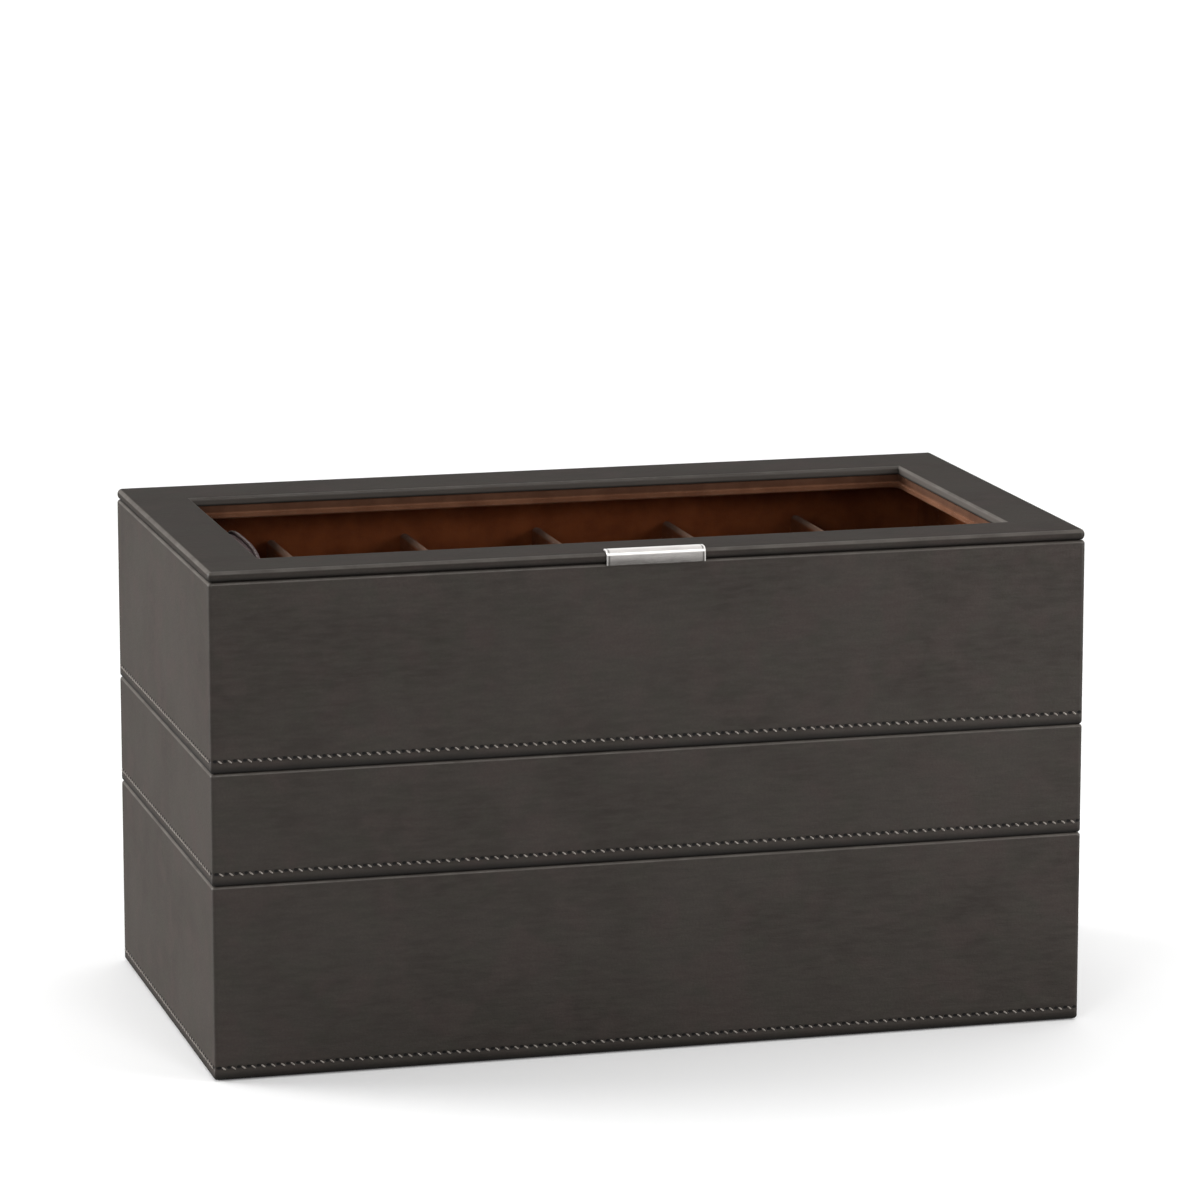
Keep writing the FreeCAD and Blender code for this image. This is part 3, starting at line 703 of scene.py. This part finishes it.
def blown_up(name, work, material, voxel, held, cap):
    """A stuffed form: remeshed, blown up as cloth at a larger scale, and kept within a cap."""
    bmesh.ops.scale(work, vec=Vector((SIM_SCALE,) * 3), verts=work.verts)
    piece = new_piece(name, work, material)
    remesh = piece.modifiers.new("Remesh", "REMESH")
    remesh.mode = "VOXEL"
    remesh.voxel_size = voxel * SIM_SCALE
    piece.data = evaluated_mesh(piece)
    piece.modifiers.clear()
    rest = [vertex.co.copy() for vertex in piece.data.vertices]
    pins = piece.vertex_groups.new(name="held")
    pinned = [number for number, co in enumerate(rest) if held(co / SIM_SCALE)]
    pins.add(pinned, 1.0, "REPLACE")
    simulate(piece)
    for vertex, start in zip(piece.data.vertices, rest):
        step = vertex.co - start
        if step.length > cap * SIM_SCALE:
            step *= cap * SIM_SCALE / step.length
        vertex.co = (start + step) / SIM_SCALE
    piece.vertex_groups.clear()
    piece.data.polygons.foreach_set("use_smooth", [True] * len(piece.data.polygons))
    return piece


def simulate(piece):
    """Runs the cloth and puts its result into the mesh."""
    cloth = piece.modifiers.new("Cloth", "CLOTH")
    settings = cloth.settings
    settings.use_pressure = True
    settings.uniform_pressure_force = PRESSURE
    settings.vertex_group_mass = "held"
    settings.effector_weights.gravity = 0
    settings.bending_stiffness = BENDING
    cloth.collision_settings.use_collision = False
    cloth.collision_settings.use_self_collision = False
    for number in range(1, SIM_FRAMES + 1):
        bpy.context.scene.frame_set(number)
    result = evaluated_mesh(piece)
    for vertex, moved in zip(piece.data.vertices, result.vertices):
        vertex.co = moved.co
    piece.modifiers.clear()
    bpy.context.scene.frame_set(1)


def subdivided(piece):
    """Applies one subdivision to a piece."""
    modifier = piece.modifiers.new("Subdivision", "SUBSURF")
    modifier.levels = 1
    modifier.render_levels = 1
    piece.data = evaluated_mesh(piece)
    piece.modifiers.clear()
    return piece


def copy_of(piece, name, matrix, wobble=0.0):
    """A copy of a made form in its place, its surface a little uneven in its own way."""
    made = piece.copy()
    made.name = name
    made.data = piece.data.copy()
    made.data.name = name
    shift = Vector((chance.uniform(0, 9), chance.uniform(0, 9), chance.uniform(0, 9)))
    if wobble:
        normals = [vertex.normal.copy() for vertex in made.data.vertices]
        for vertex, normal in zip(made.data.vertices, normals):
            coarse = noise.noise(vertex.co * 90 + shift)
            fine = noise.noise(vertex.co * 260 + shift)
            vertex.co += normal * (coarse + 0.5 * fine) * wobble
    made.data.transform(matrix)
    bpy.context.scene.collection.objects.link(made)
    return made


def even_path(points, count):
    """A closed line through points, cut into equal steps."""
    ends = points + points[:1]
    lengths = [(b - a).length for a, b in zip(ends, ends[1:])]
    total = sum(lengths)
    path = []
    number = 0
    passed = 0.0
    for step in range(count):
        target = total * step / count
        while passed + lengths[number] < target:
            passed += lengths[number]
            number += 1
        share = (target - passed) / lengths[number]
        path.append(ends[number].lerp(ends[number + 1], share))
    return path


def seam_paths(size, lift, out, steps):
    """A line round each of a cushion's two seams, lifted and moved out from the welt's middle."""
    seams = ((size.z - CROWN_SEAM_BELOW_TOP + 0.2 * MM, 0.1 * MM),
             (FOOT_SEAM_RISE, FOOT_SEAM_INSET + 0.35 * MM))
    for rise, inset in seams:
        ring = rounded_ring(size.x - 2 * (inset - out), size.y - 2 * (inset - out), 160)
        yield even_path([point + UP * (rise + lift) for point in ring], steps)


def cushion_welts(size):
    """The sewn edges of a cushion, each a round welt."""
    work = bmesh.new()
    for path in seam_paths(size, 0.0, 0.0, WELT_STEPS):
        add_tube(work, path, [WELT_RADIUS] * len(path), UP, 8, True)
    return new_piece("welt", work, LOOKS["cushion"])


def welt_threads(size):
    """The dashes of thread over a cushion's welts."""
    work = bmesh.new()
    for path in seam_paths(size, DASH_LIFT, DASH_OUT, DASH_STEPS):
        for start in range(0, len(path), DASH_EVERY):
            add_tube(work, path[start:start + 3], DASH_RADII, UP)
    return new_piece("welt_threads", work, LOOKS["welt_thread"])


def cushions():
    """Twelve cushions on the places of their solids, each with its welts and threads."""
    low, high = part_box("cushion_front_1")
    size = high - low
    seam = size.z - CROWN_SEAM_BELOW_TOP

    def held(point):
        return abs(point.z - seam) < 1.6 * MM or point.z < FOOT_SEAM_RISE + 0.8 * MM

    start = cushion_start(*size)
    form = blown_up("cushion_form", start, LOOKS["cushion"], CUSHION_VOXEL, held, CUSHION_CAP)
    form = subdivided(form)
    welt = cushion_welts(size)
    threads = welt_threads(size)
    for node in sorted(cad):
        if not node.startswith("cushion"):
            continue
        low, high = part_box(node)
        middle = (low + high) / 2
        half_turn = Matrix.Rotation(math.pi * chance.randrange(2), 4, "Z")
        place = Matrix.Translation((middle.x, middle.y, low.z)) @ half_turn
        if high.x - low.x < high.z - low.z:
            # the one that stands on its side, its crown to the left
            taller = Matrix.Diagonal((1, 1, 1 + STANDING_BULGE / size.z, 1))
            place = Matrix.Translation((high.x + STANDING_BULGE, middle.y, middle.z))
            place = place @ Matrix.Rotation(-math.pi / 2, 4, "Y") @ taller
        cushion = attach(copy_of(form, "soft_" + node, place, 0.25 * MM), "watch_box")
        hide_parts(node)
        for part, kind in ((welt, "welt_"), (threads, "threads_")):
            edging = copy_of(part, kind + node, place)
            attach(edging, "watch_box")
    for spare in (form, welt, threads):
        bpy.data.objects.remove(spare)


def solids_of(node):
    """Lowest and highest corner of each separate solid of a node."""
    work = bmesh.new()
    work.from_mesh(cad[node].data)
    bmesh.ops.remove_doubles(work, verts=work.verts, dist=1e-6)
    left = set(work.verts)
    boxes = []
    while left:
        found = [left.pop()]
        for vertex in found:
            for edge in vertex.link_edges:
                other = edge.other_vert(vertex)
                if other in left:
                    left.remove(other)
                    found.append(other)
        corners = [[vertex.co[axis] for vertex in found] for axis in (X, Y, Z)]
        boxes.append((Vector([min(row) for row in corners]), Vector([max(row) for row in corners])))
    work.free()
    return sorted(boxes, key=lambda box: (round(box[0].x, 4), box[0].y))


def roll_start(length, width, height):
    """A ring roll before it is blown up: a long loaf along X, pinched at its ends."""
    radius = width / 2
    section = [(-radius, 0.0), (-radius, height - radius)]
    for step in range(1, 8):
        angle = math.pi * step / 8
        section.append((-radius * math.cos(angle), height - radius + radius * math.sin(angle)))
    section += [(radius, height - radius), (radius, 0.0)]
    rings = []
    for along, scale in ROLL_PINCH:
        rings.append([Vector(((along - 0.5) * length, y * scale, z * scale)) for y, z in section])
    return stacked_rings(rings)


def ring_rolls():
    """The ring rolls of the middle tray, one soft loaf on the place of each solid."""
    boxes = solids_of("middle_ring_rolls")
    low, high = boxes[0]
    length, width, height = high - low
    start = roll_start(length - ROLL_END_PLAY, width - ROLL_SIDE_PLAY, height - ROLL_SIDE_PLAY)

    def held(point):
        return point.z < 1.5 * MM

    form = blown_up("roll_form", start, LOOKS["lining"], ROLL_VOXEL, held, ROLL_CAP)
    form = subdivided(form)
    half = len(boxes) // 2
    for number, (low, high) in enumerate(boxes):
        middle = (low + high) / 2
        name = "ring_roll_%s_%d" % ("left" if number < half else "right", number % half + 1)
        roll = copy_of(form, name, Matrix.Translation((middle.x, middle.y, low.z)), 0.12 * MM)
        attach(roll, "middle_tray")
        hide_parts("middle_ring_rolls")
    bpy.data.objects.remove(form)


def add_floor():
    """A wide white floor under the felt."""
    work = bmesh.new()
    bmesh.ops.create_grid(work, x_segments=2, y_segments=2, size=FLOOR_SIZE)
    floor = new_piece("floor", work, floor_look())
    floor.location.z = cad_box[0].z


def add_lamp(name, kind, strength, towards):
    """A lamp that shines from a direction."""
    lamp = bpy.data.lights.new(name, kind)
    lamp.energy = strength
    holder = bpy.data.objects.new(name, lamp)
    bpy.context.scene.collection.objects.link(holder)
    holder.rotation_euler = towards.to_track_quat("Z", "Y").to_euler()
    return holder


def add_sun(name, azimuth, elevation, strength, width):
    """A wide soft lamp."""
    a, e = math.radians(azimuth), math.radians(elevation)
    towards = Vector((math.sin(a) * math.cos(e), -math.cos(a) * math.cos(e), math.sin(e)))
    add_lamp(name, "SUN", strength, towards).data.angle = math.radians(width)


def add_softbox(name, place, target, size, power):
    """A square lamp, unseen by the camera and through the pane."""
    holder = add_lamp(name, "AREA", power, Vector(place) - Vector(target))
    holder.location = place
    holder.data.shape = "SQUARE"
    holder.data.size = size
    holder.visible_camera = False
    holder.visible_transmission = False


def add_world():
    """A pale room, white where it is seen or mirrored."""
    world = bpy.data.worlds.new("room")
    bpy.context.scene.world = world
    world.use_nodes = True
    nodes, links = world.node_tree.nodes, world.node_tree.links
    path = nodes.new("ShaderNodeLightPath").outputs
    seen = path["Is Camera Ray"]
    for ray in ("Is Transmission Ray", "Is Glossy Ray"):
        either = nodes.new("ShaderNodeMath")
        either.operation = "MAXIMUM"
        links.new(seen, either.inputs[0])
        links.new(path[ray], either.inputs[1])
        seen = either.outputs[0]
    level = nodes.new("ShaderNodeMapRange")
    links.new(seen, level.inputs["Value"])
    level.inputs["To Min"].default_value = ROOM_LEVEL
    level.inputs["To Max"].default_value = 1.0
    room = nodes["Background"]
    links.new(level.outputs[0], room.inputs["Strength"])
    room.inputs["Color"].default_value = (1, 1, 1, 1)


def add_camera():
    """The photograph's view: from the front left, a little above."""
    data = bpy.data.cameras.new("camera")
    data.lens = CAMERA_LENS
    data.sensor_width = CAMERA_SENSOR
    camera = bpy.data.objects.new("camera", data)
    bpy.context.scene.collection.objects.link(camera)
    camera.location = CAMERA_PLACE
    camera.rotation_euler = (math.radians(90 - CAMERA_DOWN), 0, math.radians(-CAMERA_RIGHT))
    bpy.context.scene.camera = camera


for node, piece in cad.items():
    if not node.startswith("cushion"):
        dress(piece, material_of(node))
for cover, body in TRAYS.items():
    stitching(cover, body)
cushions()
ring_rolls()
add_floor()
add_world()
for name, settings in SUNS.items():
    add_sun(name, *settings)
for name, settings in SOFTBOXES.items():
    add_softbox(name, *settings)
add_camera()
bpy.context.scene.view_settings.view_transform = "Standard"
